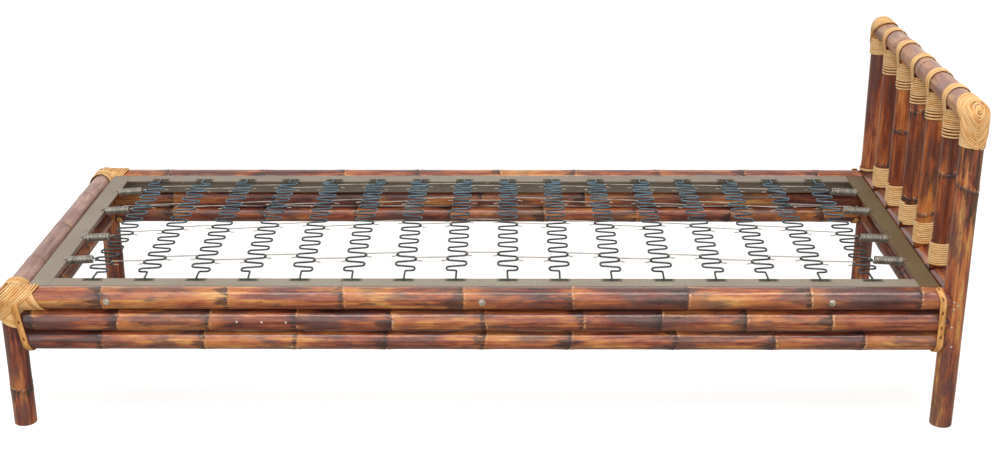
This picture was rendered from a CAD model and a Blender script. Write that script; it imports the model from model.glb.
# %% [markdown]
# # A bamboo daybed with a rattan-laced headboard
#
# The daybed is built from poles of torched, lacquered bamboo. Strips of rattan peel lace its
# corners and its headboard, and a frame of steel angle carries a deck of zigzag springs.
#
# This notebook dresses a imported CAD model. The CAD poles have eight sides and its windings few
# loops, so most nodes get a finer piece that stands in the same place. Everything is in metres,
# with X towards the head end, Y towards the back and Z up.

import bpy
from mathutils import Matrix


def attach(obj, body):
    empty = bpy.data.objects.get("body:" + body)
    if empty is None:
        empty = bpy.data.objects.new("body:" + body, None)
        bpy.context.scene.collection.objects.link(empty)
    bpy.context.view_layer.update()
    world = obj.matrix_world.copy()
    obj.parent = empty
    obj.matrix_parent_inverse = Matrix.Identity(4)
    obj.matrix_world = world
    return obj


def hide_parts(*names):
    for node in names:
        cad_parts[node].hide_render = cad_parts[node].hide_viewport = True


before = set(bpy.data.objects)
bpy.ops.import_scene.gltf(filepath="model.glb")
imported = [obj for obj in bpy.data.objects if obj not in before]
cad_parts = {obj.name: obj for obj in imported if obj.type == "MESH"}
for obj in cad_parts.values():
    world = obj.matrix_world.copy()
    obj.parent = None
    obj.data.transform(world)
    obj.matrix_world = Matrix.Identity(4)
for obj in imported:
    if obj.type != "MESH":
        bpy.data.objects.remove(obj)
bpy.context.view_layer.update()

# %% Modules and units
import math
import random
from functools import partial

import bmesh
import bpy
import numpy as np
from mathutils import Matrix, Vector, noise
from mathutils.bvhtree import BVHTree

MM = 0.001
X_AXIS, Y_AXIS, Z_AXIS = np.eye(3)
SIDES = (("front", -1), ("back", 1))
ENDS = (("foot", -1), ("head", 1))


# %% Short helpers
def new_object(name, data):
    made = bpy.data.objects.new(name, data)
    bpy.context.scene.collection.objects.link(made)
    return made


def unit(rows):
    """A vector, or each row of several, brought to length 1."""
    return rows / np.linalg.norm(rows, axis=-1, keepdims=True)


def travelled(path):
    """The way from the start of a path to each of its points."""
    return np.concatenate([[0.0], np.cumsum(np.linalg.norm(np.diff(path, axis=0), axis=1))])


def smoothed(rows, closed=False):
    """Each row averaged with its neighbours. An open path keeps its ends."""
    eased = (np.roll(rows, 1, 0) + 2 * rows + np.roll(rows, -1, 0)) / 4
    if not closed:
        eased[[0, -1]] = rows[[0, -1]]
    return eased


def ring_angles(sides):
    return np.arange(sides) * 2 * math.pi / sides


def ring_ways(angles, side, lift):
    """Directions at these angles, from side towards lift."""
    return np.outer(np.cos(angles), side) + np.outer(np.sin(angles), lift)


# %% [markdown]
# ## Camera
#
# The photograph was taken from the front, from about a standing person's eye height. The place
# and the lens were solved from the feet of the uprights and the ends of the headboard rail, so
# the render can be laid over the photograph. Camera axes are built from yaw, pitch and roll,
# which is easier to read than a matrix of numbers.

# %% Camera from the solved angles
CAMERA_PLACE = (0.0597, -3.2646, 1.5274)
PITCH, YAW, ROLL = (math.radians(angle) for angle in (20.331, -0.528, -0.137))
SENSOR_WIDTH, LENS = 36.0, 53.33
# In pixels: the photograph's width and height, and where the lens's axis meets it
WIDE, HIGH, AXIS_X, AXIS_Y = 994, 449, 496.78, 223.31

sight = Vector((math.sin(YAW) * math.cos(PITCH), math.cos(YAW) * math.cos(PITCH),
                -math.sin(PITCH)))
level_right = Vector((math.cos(YAW), -math.sin(YAW), 0.0))
level_up = level_right.cross(sight)
right = math.cos(ROLL) * level_right + math.sin(ROLL) * level_up
up = -math.sin(ROLL) * level_right + math.cos(ROLL) * level_up

camera_data = bpy.data.cameras.new("camera")
camera_data.sensor_width, camera_data.lens = SENSOR_WIDTH, LENS
camera_data.shift_x = (WIDE / 2 - AXIS_X) / WIDE
camera_data.shift_y = (AXIS_Y - HIGH / 2) / WIDE
camera = new_object("camera", camera_data)
turn = Matrix((right, up, -sight)).transposed().to_4x4()
camera.matrix_world = Matrix.Translation(CAMERA_PLACE) @ turn
bpy.context.scene.camera = camera
bpy.context.scene.view_settings.view_transform = "Standard"
print("camera at", CAMERA_PLACE, "lens", LENS)

# %% [markdown]
# ## Colours and nodes
#
# Colours are written as sRGB hex values, as a paint chart gives them, and turned to linear by
# one function. One small function adds a shader node with its settings and links, so that a
# material reads as a list of steps.

# %% Two helpers for materials
def linear(hex_colour):
    parts = [int(hex_colour[i:i + 2], 16) / 255 for i in (1, 3, 5)]
    bent = [p / 12.92 if p <= 0.04045 else ((p + 0.055) / 1.055) ** 2.4 for p in parts]
    return (*bent, 1.0)


def add_node(tree, kind, inputs=(), stops=(), **settings):
    """inputs are values to set or sockets to link, by name or number or else in order. stops
    are the places and colours of a ramp."""
    made = tree.nodes.new("ShaderNode" + kind)
    for key, value in settings.items():
        setattr(made, key, value)
    for key, value in inputs.items() if isinstance(inputs, dict) else enumerate(inputs):
        if isinstance(value, bpy.types.NodeSocket):
            tree.links.new(value, made.inputs[key])
        else:
            made.inputs[key].default_value = value
    if stops:
        ramp = made.color_ramp.elements
        while len(ramp) < len(stops):
            ramp.new(0.5)
        for element, (place, colour) in zip(ramp, stops):
            element.position = place
            element.color = linear(colour)
    return made.outputs


print("mid grey is", round(linear("#808080")[0], 3))


# %% A new material, its shader and what several materials share
def new_material(name):
    """The material, and add_node for its own tree."""
    material = bpy.data.materials.new(name)
    material.use_nodes = True
    material.node_tree.nodes.clear()
    return material, partial(add_node, material.node_tree)


def finish_material(add, inputs):
    shader = add("BsdfPrincipled", inputs)
    add("OutputMaterial", {"Surface": shader["BSDF"]})


def span(value, low, high, start=0.0, end=1.0):
    """Inputs that map the span from low to high onto that from start to end."""
    return {"Value": value, "From Min": low, "From Max": high, "To Min": start, "To Max": end}


def grain_noise(add, grain, along, across, shift=0.0, **inputs):
    """Noise stretched along a piece. along and across are its features per metre."""
    place = add("Mapping", {"Vector": grain["Vector"], "Scale": (along, across, across),
                            "Location": (shift, shift, 0.0)})
    return add("TexNoise", {"Vector": place[0], "Scale": 1.0, **inputs})["Fac"]


# %% [markdown]
# ## Studio: floor, backdrop and light
#
# The photograph is a cut-out on white. Here a pale floor and a white world stand behind the
# object. To the camera the floor is part its own glow and part lit paint. They add up to white
# in the open, and the bed still casts its shadow. Other rays meet a grey floor, so that the
# poles' undersides stay dark as they do in the photograph. A long narrow softbox overhead draws
# the highlight along the lacquer, and a broad dim one in front lights the upright faces.

# %% Floor
FLOOR_GLOW, FLOOR_PAINT, FLOOR_TO_OBJECT = "#e2e2e2", "#bcbcbc", "#aca7a2"
FLOOR_HALF = 9.0

floor_material, add = new_material("white_painted_floor")
rays = add("LightPath")
shown = add("Math", (rays["Is Camera Ray"], rays["Is Transmission Ray"]), operation="MAXIMUM")
glow = add("Emission", {"Color": linear(FLOOR_GLOW), "Strength": 1.0})
paint = add("BsdfDiffuse", {"Color": linear(FLOOR_PAINT)})
bounce = add("BsdfDiffuse", {"Color": linear(FLOOR_TO_OBJECT)})
seen = add("AddShader", (glow[0], paint[0]))
either = add("MixShader", (shown[0], bounce[0], seen[0]))
add("OutputMaterial", {"Surface": either[0]})

floor_mesh = bpy.data.meshes.new("floor")
floor_corners = [(x * FLOOR_HALF, y * FLOOR_HALF, 0) for x, y in ((-1, -1), (1, -1), (1, 1), (-1, 1))]
floor_mesh.from_pydata(floor_corners, [], [(0, 1, 2, 3)])
floor_mesh.materials.append(floor_material)
floor = new_object("floor", floor_mesh)
print("floor glow", FLOOR_GLOW, "and paint", FLOOR_PAINT)

# %% World: white to the eye and to reflections, dimmer as a light
WORLD_LIGHT = 0.55

world = bpy.data.worlds.new("studio")
bpy.context.scene.world = world
world.use_nodes = True
world.node_tree.nodes.clear()
add = partial(add_node, world.node_tree)
rays = add("LightPath")
mirror = add("Math", (rays["Is Glossy Ray"], rays["Is Transmission Ray"]), operation="MAXIMUM")
shown = add("Math", (rays["Is Camera Ray"], mirror[0]), operation="MAXIMUM")
seen = add("Background", {"Color": linear("#ffffff"), "Strength": 1.0})
lamp = add("Background", {"Color": linear("#fffaf4"), "Strength": WORLD_LIGHT})
either = add("MixShader", (shown[0], lamp[0], seen[0]))
add("OutputWorld", {"Surface": either[0]})
print("world light", WORLD_LIGHT)


# %% Lamps
def soft_lamp(name, place, target, size, watts, colour):
    data = bpy.data.lights.new(name, "AREA")
    data.shape = "RECTANGLE"
    data.size, data.size_y = size
    data.energy = watts
    data.color = linear(colour)[:3]
    lamp_object = new_object(name, data)
    lamp_object.location = place
    lamp_object.rotation_euler = (Vector(target) - Vector(place)).to_track_quat("-Z", "Y").to_euler()
    print(name, watts, "W at", place)


soft_lamp("overhead_softbox", (0.2, -1.55, 3.1), (0.0, -0.4, 0.3), (3.6, 0.7), 62.0, "#fff8ee")
soft_lamp("front_softbox", (-0.3, -4.6, 2.0), (0.0, 0.0, 0.3), (6.0, 3.0), 58.0, "#fffaf4")
soft_lamp("foot_end_softbox", (-3.2, -1.2, 1.8), (0.0, 0.0, 0.3), (1.4, 1.8), 10.0, "#f4f7ff")

# %% [markdown]
# ## Parts of a mesh
#
# A pole, a strand and a wire are all rings of corners joined into a tube. Each is kept as a
# part: its points, its faces and a few values for each point that the materials read.
#
# - `grain` is a place on the pole or strand: along it, and round its section, in metres. Noise
#   that reads it runs along each piece, wherever the piece points.
# - `joint` is the distance along the pole from the scar below its nearest bamboo joint, and
#   `line` the distance from the pale ridge above that joint, in metres.
# - `tone` is a number of its own for each internode or strand.
# - `mark` is 1 where a piece is cut, pierced or in a crevice.

# %% A tube over rings of points
USUAL_VALUES = {"joint": 1.0, "line": 1.0, "tone": 0.5, "mark": 0.0}


def tube_faces(count, sides, closed=False, caps=True):
    faces = []
    for i in range(count if closed else count - 1):
        here = i * sides
        there = ((i + 1) % count) * sides
        for k in range(sides):
            m = (k + 1) % sides
            faces.append((here + k, here + m, there + m, there + k))
    if caps and not closed:
        faces.append(tuple(reversed(range(sides))))
        faces.append(tuple(range((count - 1) * sides, count * sides)))
    return faces


def make_part(points, faces, grain, **values):
    points, grain = (np.asarray(rows, float).reshape(-1, 3) for rows in (points, grain))
    part = {"points": points, "faces": faces, "grain": grain}
    for key, usual in USUAL_VALUES.items():
        value = np.asarray(values.get(key, usual), float).ravel()
        part[key] = np.broadcast_to(value, len(points))
    return part


# %% Parts from a turned profile and from an edited solid
def turned(profile, base, axis, sides, seed):
    """A profile of (along, radius) pairs, in mm, turned round axis from base."""
    side = X_AXIS if abs(axis[0]) < 0.5 else Z_AXIS
    side = unit(side - axis * (side @ axis))
    ways = ring_ways(ring_angles(sides), side, np.cross(axis, side))
    points = np.concatenate([base + along * axis + max(radius, 0.02) * ways
                             for along, radius in profile]) * MM
    return make_part(points, tube_faces(len(profile), sides), points + seed * X_AXIS)


def solid_part(solid, mark=0.0):
    """The part that a bmesh holds. The bmesh is freed."""
    solid.verts.index_update()
    points = [tuple(v.co) for v in solid.verts]
    faces = [tuple(v.index for v in face.verts) for face in solid.faces]
    solid.free()
    return make_part(points, faces, points, mark=mark)


# %% Parts become one named piece that rides on the bed
def add_piece(name, parts, material, replaced=(), sharp=None):
    points, grain, *values = (np.concatenate([part[key] for part in parts])
                              for key in ("points", "grain", *USUAL_VALUES))
    faces = []
    start = 0
    for part in parts:
        faces.extend(tuple(start + k for k in face) for face in part["faces"])
        start += len(part["points"])
    mesh = bpy.data.meshes.new(name)
    mesh.from_pydata(points.tolist(), [], faces)
    layer = mesh.attributes.new("grain", "FLOAT_VECTOR", "POINT")
    layer.data.foreach_set("vector", grain.ravel())
    for key, value in zip(USUAL_VALUES, values):
        layer = mesh.attributes.new(key, "FLOAT", "POINT")
        layer.data.foreach_set("value", value)
    mesh.polygons.foreach_set("use_smooth", [True] * len(mesh.polygons))
    if sharp is not None:
        mesh.set_sharp_from_angle(angle=math.radians(sharp))
    mesh.materials.append(material)
    mesh.update()
    piece = new_object(name, mesh)
    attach(piece, "root")
    if replaced:
        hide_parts(*replaced)
    made_pieces.append(name)


made_pieces = []
print("part helpers ready")

# %% [markdown]
# ## Bamboo: torched and lacquered
#
# Bamboo is a grass with a hard waxy skin. These poles were scorched with a torch, which turns
# the straw colour to amber and leaves dark tortoiseshell blotches, heaviest round the joints,
# and were then brushed with lacquer that has reddened. Each joint keeps a dark scar and a
# thin pale line where its sheath was.
#
# The colour could be painted as an image. Noise is used instead, stretched along the pole,
# because it holds up at any distance and on every pole. The lengths are real ones: streaks
# 6 mm wide and 170 mm long, blotches 30 mm by 140 mm, mottling 6 mm by 22 mm, fibres 1 mm wide.

# %% Bamboo recipe, used for four finishes
# Features per metre along and across the pole, detail, and shift from the other patterns
BAMBOO_PATTERNS = {
    "streak": (6.0, 180.0, 2.6, 0.0), "blotch": (7.0, 32.0, 3.0, 3.1),
    "stain": (7.0, 26.0, 3.5, 9.4), "scorch": (11.0, 55.0, 5.0, 7.7),
    "mottle": (45.0, 160.0, 3.0, 5.2), "speck": (330.0, 560.0, 1.0, 2.4),
    "fibre": (60.0, 1000.0, 2.0, 1.3),
}


def bamboo_material(name, amber, film, film_most, burnt, burn_level, scar, lacquer):
    """amber is the ramp from scorched to clear skin, film the colour that the lacquer leaves in
    patches and film_most its greatest share, burnt the colour of the torch marks, scar that of
    the joints."""
    material, add = new_material(name)
    grain, joint, line, tone, mark = [add("Attribute", attribute_name=key)
                                      for key in ("grain", *USUAL_VALUES)]
    patterns = {key: grain_noise(add, grain, along, across, shift, Detail=detail, Roughness=0.62,
                                 Distortion=0.25)
                for key, (along, across, detail, shift) in BAMBOO_PATTERNS.items()}

    # How warm each place is: a weighted sum, with the internode's own tone
    warmth = -0.95
    for value, weight in ((patterns["streak"], 1.0), (patterns["blotch"], 1.35),
                          (patterns["mottle"], 0.25), (tone["Fac"], 0.3)):
        warmth = add("Math", (value, weight, warmth), operation="MULTIPLY_ADD")[0]
    colour = add("ValToRGB", (warmth,), amber)["Color"]

    # Scorching gathers below each joint and clear skin above it: joint less line tells them apart
    apart = add("Math", (joint["Fac"], line["Fac"]), operation="SUBTRACT")[0]
    beside = []
    for source, sign, most in ((joint, -1, 0.18), (line, 1, 0.6)):
        there = add("MapRange", span(apart, -0.004 * sign, 0.004 * sign))
        close = add("MapRange", span(source["Fac"], 0.002, 0.045, most, 0.0),
                    interpolation_type="SMOOTHSTEP")
        beside.append(add("Math", (there[0], close[0]), operation="MULTIPLY")[0])
    below, above = beside
    heat = add("Math", (patterns["scorch"], below), operation="ADD")
    scar_edge = add("Math", (patterns["scorch"], 0.026, joint["Fac"]), operation="MULTIPLY_ADD")
    line_edge = add("Math", (patterns["mottle"], 0.012, line["Fac"]), operation="MULTIPLY_ADD")

    shares = {"above": above}
    for key, value, low, high, most in (
            ("film", patterns["stain"], 0.46, 0.61, film_most),
            ("burn", heat[0], burn_level, burn_level + 0.12, 0.8),
            ("spot", patterns["mottle"], 0.665, 0.71, 0.7),
            ("scar", scar_edge[0], 0.0200, 0.0145, 0.8),
            ("speck", patterns["speck"], 0.70, 0.74, 0.4),
            ("line", line_edge[0], 0.0074, 0.0062, 0.9),
            ("gap", patterns["blotch"], 0.46, 0.52, 1.0),
            ("rubbed", patterns["streak"], 0.62, 0.45, 1.0),
            ("clear", patterns["blotch"], 0.44, 0.60, 1.0)):
        shares[key] = add("MapRange", span(value, low, high, 0.0, most),
                          interpolation_type="SMOOTHSTEP")[0]
    for key, other in (("line", "gap"), ("scar", "rubbed"), ("above", "clear")):
        shares[key] = add("Math", (shares[key], shares[other]), operation="MULTIPLY")[0]
    for share, over in ((shares["film"], film), (shares["above"], amber[-2][1]),
                        (shares["burn"], burnt), (shares["spot"], burnt),
                        (shares["scar"], scar), (shares["speck"], "#c99f80"),
                        (shares["line"], "#d6a676"), (mark["Fac"], "#6b5238")):
        colour = add("Mix", {0: share, 6: colour, 7: linear(over)}, data_type="RGBA")[2]

    # Lacquer: smooth over the fibres, duller on scars and cut ends
    dull = add("Math", (shares["scar"], mark["Fac"]), operation="MAXIMUM")
    rough_base = add("MapRange", span(patterns["fibre"], 0.3, 0.7, 0.34, 0.52))
    rough = add("Math", (dull[0], 0.3, rough_base[0]), operation="MULTIPLY_ADD")
    relief = add("Math", (patterns["streak"], 0.5, patterns["mottle"]), operation="MULTIPLY_ADD")
    bump = add("Bump", {"Strength": 0.5, "Distance": 0.0006, "Height": relief[0]})
    finish_material(add, {"Base Color": colour, "Roughness": rough[0], "Normal": bump[0],
                          "Coat Normal": bump[0], **lacquer})
    return material


# %% The four bamboo finishes
LACQUER = {"IOR": 1.5, "Specular IOR Level": 0.3, "Coat Weight": 0.85, "Coat Roughness": 0.17,
           "Coat IOR": 1.5, "Sheen Weight": 0.22, "Sheen Roughness": 0.25,
           "Sheen Tint": linear("#ffdccd")}
WORN_LACQUER = {"IOR": 1.5, "Specular IOR Level": 0.4, "Coat Weight": 0.3, "Coat Roughness": 0.26,
                "Coat IOR": 1.5}
RAMP_PLACES = (0.12, 0.30, 0.45, 0.58, 0.74, 0.92)
DEEP_RAMP_PLACES = (0.15, 0.32, 0.46, 0.59, 0.75, 0.92)


def colour_ramp(places, colours):
    return list(zip(places, colours.split()))


torched_bamboo = bamboo_material(
    "bamboo_torched_and_lacquered",
    colour_ramp(RAMP_PLACES, "#421c17 #6f3223 #924a30 #ad623c #c67e42 #dba560"),
    "#553a3a", 0.75, "#2a1a1a", 0.61, "#2f2320", LACQUER)
amber_bamboo = bamboo_material(
    "bamboo_torched_deep_amber_and_lacquered",
    colour_ramp(DEEP_RAMP_PLACES, "#571f0e #733013 #8c421c #a75626 #c47432 #dd9a50"),
    "#552c24", 0.7, "#2a1514", 0.62, "#2c1d1b", LACQUER)
faded_bamboo = bamboo_material(
    "bamboo_torched_and_faded_by_handling",
    colour_ramp(RAMP_PLACES, "#7c4d38 #9a664b #b57f5e #c5916c #d3a377 #e0b98a"),
    "#96706c", 0.8, "#6a4538", 0.70, "#8a6658", WORN_LACQUER)
dull_bamboo = bamboo_material(
    "bamboo_torched_and_worn_dull",
    colour_ramp(RAMP_PLACES, "#725048 #8a675f #9e7970 #ab867a #b79284 #c6a294"),
    "#896056", 0.7, "#664a44", 0.70, "#7a584c", WORN_LACQUER)
print("materials", torched_bamboo.name, amber_bamboo.name, faded_bamboo.name, dull_bamboo.name)

# %% [markdown]
# ## Culms: how a bamboo pole is shaped
#
# A culm is nearly a cylinder, but never a plain one. It swells a little below each joint, has
# a groove at the scar and a ridge above it, and the joint runs at a slight slant. A lathe
# would give level rings, so the rings are built by hand: each corner of a ring is moved along
# the pole by the joint's slant, and in or out by the profile and some slow noise.

# %% Culm profile
CULM_SIDES = 36
# Distance from the joint and depth below the full radius, both in mm
JOINT_PROFILE = [
    (-60, 0.85), (-34, 0.8), (-22, 0.65), (-14, 0.4), (-9, 0.15), (-5.5, 0.02), (-3, 0.1),
    (-1.4, 0.5), (0.0, 0.95), (1.2, 0.6), (2.6, 0.12), (4.6, 0.0), (7.5, 0.3), (11.5, 0.62),
    (18, 0.82), (30, 0.88), (60, 0.86),
]
JOINT_PLACES, JOINT_DEPTHS = zip(*JOINT_PROFILE)
SCAR_BELOW, LINE_ABOVE, FAR_OFF = 4.0, 2.4, 999.0
# The widest step between two rings, the step that fills it, and the rings across a knot
WIDEST_STEP, FILLING_STEP, KNOT_RINGS = 46, 38, np.linspace(-1.3, 1.3, 9)
# The least way from a joint to the pole's end, and from the end to the next ring
JOINT_MARGIN, END_MARGIN = 14, 1.5
# A joint's own wave, the way over which its slant fades, the slow hollows and the oval section
JOINT_WAVE, SLANT_FADE, HOLLOW, OUT_OF_ROUND = 2.2, 30, 0.32, 0.22


def culm_stations(start, end, joints, knots):
    places = [joint + offset for joint in joints for offset in JOINT_PLACES[1:-1]]
    places += [height + tall * share for height, turn, tall, wide in knots for share in KNOT_RINGS]
    ordered = sorted({start, end} | {p for p in places if start + 2 < p < end - 2})
    filled = [ordered[0]]
    for station in ordered[1:]:
        while station - filled[-1] > WIDEST_STEP:
            filled.append(filled[-1] + FILLING_STEP)
        filled.append(station)
    return filled


# %% One culm as a part
def culm(base, axis, radius, length, joints, seed, low_cut=None, high_cut=None, tone_range=(0, 1),
         leans=None, knots=(), open_low=False):
    """A pole from base along axis. Sizes in mm. low_cut and high_cut give, for a corner's
    offset from the pole's middle, how far the end is cut back there. leans gives the slant and
    the way of a joint that runs askew, knots the place, way, height and width of burnt ovals.
    open_low leaves the low end without its disc."""
    rng = random.Random(seed)
    side = X_AXIS if abs(axis[0]) < 0.5 else Y_AXIS
    angles = ring_angles(CULM_SIDES)
    ways = ring_ways(angles, side, np.cross(axis, side))
    low, cut_high = (np.array([cut(radius * way) if cut else 0.0 for way in ways])
                     for cut in (low_cut, high_cut))
    high = length - cut_high
    joints = [j for j in joints if low.max() + JOINT_MARGIN < j < high.min() - JOINT_MARGIN]
    slants = [(rng.uniform(0.8, 3.6), rng.uniform(0, 2 * math.pi)) for _ in joints]
    slants = [(leans or {}).get(j, drawn) for j, drawn in zip(joints, slants)]
    tones = [rng.uniform(*tone_range) for _ in range(len(joints) + 1)]
    stations = culm_stations(low.max() + END_MARGIN, high.min() - END_MARGIN, joints, knots)
    shift = 10.0 * rng.random()
    oval = rng.uniform(0, math.pi)
    points, grain, values = [], [], []
    rows = [low, *(np.full(CULM_SIDES, station) for station in stations), high]
    for number, row in enumerate(rows):
        cut_end = number in (0, len(rows) - 1)
        for angle, way, station in zip(angles, ways, row):
            distance, internode, move = FAR_OFF, 0, 0.0
            round_x, round_y = math.cos(angle), math.sin(angle)
            if joints:
                nearest = min(range(len(joints)), key=lambda j: abs(joints[j] - station))
                distance = station - joints[nearest]
                internode = nearest + (1 if distance > 0 else 0)
                slant, turn = slants[nearest]
                wave = noise.noise((round_x * 1.6, round_y * 1.6, seed * 3.1 + nearest * 5.7))
                askew = slant * math.cos(angle - turn) + JOINT_WAVE * wave
                move = askew * math.exp(-(distance / SLANT_FADE) ** 2)
            slow = noise.noise((station * 0.011, round_x * 1.1 + seed * 2.3, round_y * 1.1))
            depth = np.interp(distance, JOINT_PLACES, JOINT_DEPTHS) + HOLLOW * (slow + 0.55)
            depth += OUT_OF_ROUND * (1 - math.cos(2 * (angle - oval)))
            reach = radius - max(0.0, depth)
            along = station + (0.0 if cut_end else move)
            points.append((base + along * axis + reach * way) * MM)
            grain.append((along * MM + shift, reach * MM * round_x, reach * MM * round_y + seed))
            scar = abs(distance + SCAR_BELOW)
            for height, turn, tall, wide in knots:
                aside = radius * math.remainder(angle - turn, 2 * math.pi)
                oval_place = math.hypot((station - height) / tall, aside / wide)
                scar = min(scar, wide * max(0.0, oval_place - 0.6))
            values.append((scar * MM, abs(distance - LINE_ABOVE) * MM, tones[internode], 0.0))
    faces = tube_faces(len(rows), CULM_SIDES, caps=False)
    high_ring = (len(rows) - 1) * CULM_SIDES
    for first in ((high_ring,) if open_low else (0, high_ring)):
        centre = len(points)
        points.append(np.mean(points[first:first + CULM_SIDES], 0))
        grain.append((shift + first * 0.001, 0.0, seed))
        values.append((FAR_OFF * MM, (FAR_OFF - LINE_ABOVE) * MM, 0.5, 1.0))
        for k in range(CULM_SIDES):
            pair = (first + k, first + (k + 1) % CULM_SIDES)
            faces.append((*(pair if first else pair[::-1]), centre))
    return make_part(points, faces, grain, **dict(zip(USUAL_VALUES, np.array(values).T)))


print("culm profile of", len(JOINT_PROFILE), "places,", CULM_SIDES, "sides")

# %% Sizes that the poles share, in mm
HALF_LENGTH, HALF_WIDTH = 1000.0, 395.0
COPE_INSET = 12.0
LEG_RADIUS, SPINDLE_RADIUS, HEAD_RAIL_RADIUS = 25.0, 22.0, 26.6
HEAD_RAIL_HEIGHT, LEG_TOP = 698.0, 307.6
RAIL_RADII = {"top": 25.4, "middle": 24.4, "bottom": 22.2}
RAIL_HEIGHTS = {"top": 295.6, "middle": 245.5, "bottom": 198.6}
GAP = 0.3
SPINDLE_PLACES = [264.0, 132.0, 0.0, -132.0, -264.0]


def spaced(first, pitch, length):
    return list(np.arange(first, length, pitch))


def round_cut(radius, offset):
    return math.sqrt(max(0.0, radius ** 2 - offset ** 2))


print("rail tops at", RAIL_HEIGHTS["top"] + RAIL_RADII["top"], "mm")

# %% [markdown]
# ### Side poles
#
# Three poles are stacked on each side, fish-mouthed over the uprights: their ends are cut to
# the curve that they meet. A boolean could cut them, but moving the end ring to the meeting
# curve keeps clean rings for the grain. The end poles also stop at the long ones.

# %% Long poles, front and back
# Places of joints from the middle of the pole. The other poles have theirs evenly spaced
LONG_POLE_JOINTS = {
    ("front", "top"): [-803, -537, -293, -38, 193, 437, 694, 927],
    ("front", "middle"): [-954, -772, -578, -392, -191, 8, 215, 384, 563, 742],
    ("front", "bottom"): [-811, -590, -394, -201, 10, 191, 415, 623, 814],
    ("back", "top"): [-829, -580, -371, -174, 37, 231, 448, 672, 861],
}


def cope_on_leg(offset):
    return max(COPE_INSET, round_cut(LEG_RADIUS + GAP, offset[1])) - COPE_INSET


long_blank = 2 * (HALF_LENGTH - COPE_INSET)
for number, (level, radius) in enumerate(RAIL_RADII.items()):
    for side_name, side in SIDES:
        joints = [x + long_blank / 2 for x in LONG_POLE_JOINTS.get((side_name, level), ())]
        base = np.array([-long_blank / 2, side * HALF_WIDTH, RAIL_HEIGHTS[level]])
        part = culm(base, X_AXIS, radius, long_blank,
                    joints or spaced(95 + 3 * radius, 11 * radius, long_blank),
                    seed=21 + number + 10 * side, low_cut=cope_on_leg, high_cut=cope_on_leg)
        add_piece(f"{side_name}_pole_{level}", [part], torched_bamboo,
                  [f"{side_name}_rail_{level}"])
print("long poles", long_blank, "mm")

# %% End poles, foot and head
end_blank = 2 * (HALF_WIDTH - COPE_INSET)
WORN_POLE_JOINTS = [170.0, 381.0, 596.0]


def cope_at_corner(level, end):
    def cut_back(offset):
        depth = round_cut(LEG_RADIUS + GAP, offset[0])
        if -end * offset[0] > COPE_INSET:
            depth = max(depth, round_cut(RAIL_RADII[level] + GAP, offset[2]))
        return max(COPE_INSET, depth) - COPE_INSET
    return cut_back


for number, (level, radius) in enumerate(RAIL_RADII.items()):
    for end_name, end in ENDS:
        base = np.array([end * HALF_LENGTH, -end_blank / 2, RAIL_HEIGHTS[level]])
        worn = level == "top" and end_name == "foot"
        joints = WORN_POLE_JOINTS if worn else spaced(end * 20 + 5 * radius, 9.4 * radius, end_blank)
        cope = cope_at_corner(level, end)
        part = culm(base, Y_AXIS, radius, end_blank, joints, seed=61 + number + 10 * end,
                    low_cut=cope, high_cut=cope)
        add_piece(f"{end_name}_pole_{level}", [part], dull_bamboo if worn else torched_bamboo,
                  [f"{end_name}_rail_{level}"])
print("end poles", end_blank, "mm")

# %% [markdown]
# ### Uprights
#
# Each upright is sawn off level, so its foot shows the hollow of the culm. The headboard's
# posts are fish-mouthed under the headboard rail.

# %% Open foot: the last ring is turned in and up the hollow
HOLLOW_RADIUS, HOLLOW_DEPTH = 14.0, 60.0


def open_foot(x, y, pole, seed):
    points = list(pole["points"][:CULM_SIDES])
    rings = [(LEG_RADIUS - 3.0, 0.0), (HOLLOW_RADIUS, 0.0),
             (HOLLOW_RADIUS - 1.0, 0.6 * HOLLOW_DEPTH), (HOLLOW_RADIUS - 2.0, HOLLOW_DEPTH)]
    for radius, z in rings:
        ways = ring_ways(ring_angles(CULM_SIDES), X_AXIS, Y_AXIS)
        points.extend(([x, y, z] + radius * ways) * MM)
    last = len(rings) * CULM_SIDES
    faces = tube_faces(len(rings) + 1, CULM_SIDES, caps=False)
    faces.append(tuple(range(last, last + CULM_SIDES)))
    grain = [(p[2] + seed, p[0], p[1]) for p in points]
    return make_part(points, [face[::-1] for face in faces], grain, mark=1.0)


# %% Legs and posts
LEG_JOINTS = [89.0]
POST_JOINTS = {"front": [545.5], "back": [330.0]}
POST_LEANS = {545.5: (10.0, math.pi)}
POST_KNOTS = {"front": [(590.0, math.radians(-58), 30.0, 4.5), (612.0, math.radians(-150), 13.0, 4.0)],
              "back": []}


def under_head_rail(offset):
    return round_cut(HEAD_RAIL_RADIUS + GAP, offset[0])


def upright(x, y, length, joints, seed, foot_seed, **shape):
    pole = culm(np.array([x, y, 0.0]), Z_AXIS, LEG_RADIUS, length, joints, seed,
                low_cut=lambda offset: 1.0, open_low=True, **shape)
    return [pole, open_foot(x, y, pole, foot_seed)]


for number, (side_name, side) in enumerate(SIDES):
    y = side * HALF_WIDTH
    leg = upright(-HALF_LENGTH, y, LEG_TOP, LEG_JOINTS, 91 + number, 3.0 + number)
    add_piece(f"foot_upright_{side_name}", leg, torched_bamboo,
              [f"foot_leg_{side_name}"], sharp=40)
    post = upright(HALF_LENGTH, y, HEAD_RAIL_HEIGHT, POST_JOINTS[side_name], 101 + number,
                   7.0 + number, high_cut=under_head_rail, tone_range=(0.3, 0.9),
                   leans=POST_LEANS, knots=POST_KNOTS[side_name])
    add_piece(f"head_upright_{side_name}", post, torched_bamboo,
              [f"head_post_{side_name}"], sharp=40)
print("uprights to", LEG_TOP, "and", HEAD_RAIL_HEIGHT, "mm")

# %% [markdown]
# ### Headboard
#
# Five spindles stand on the top head pole, cut to sit astride it, and carry a thicker rail.
# Hands have rubbed the rail's lacquer dull, so it is paler and pinker than the rest.

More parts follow.
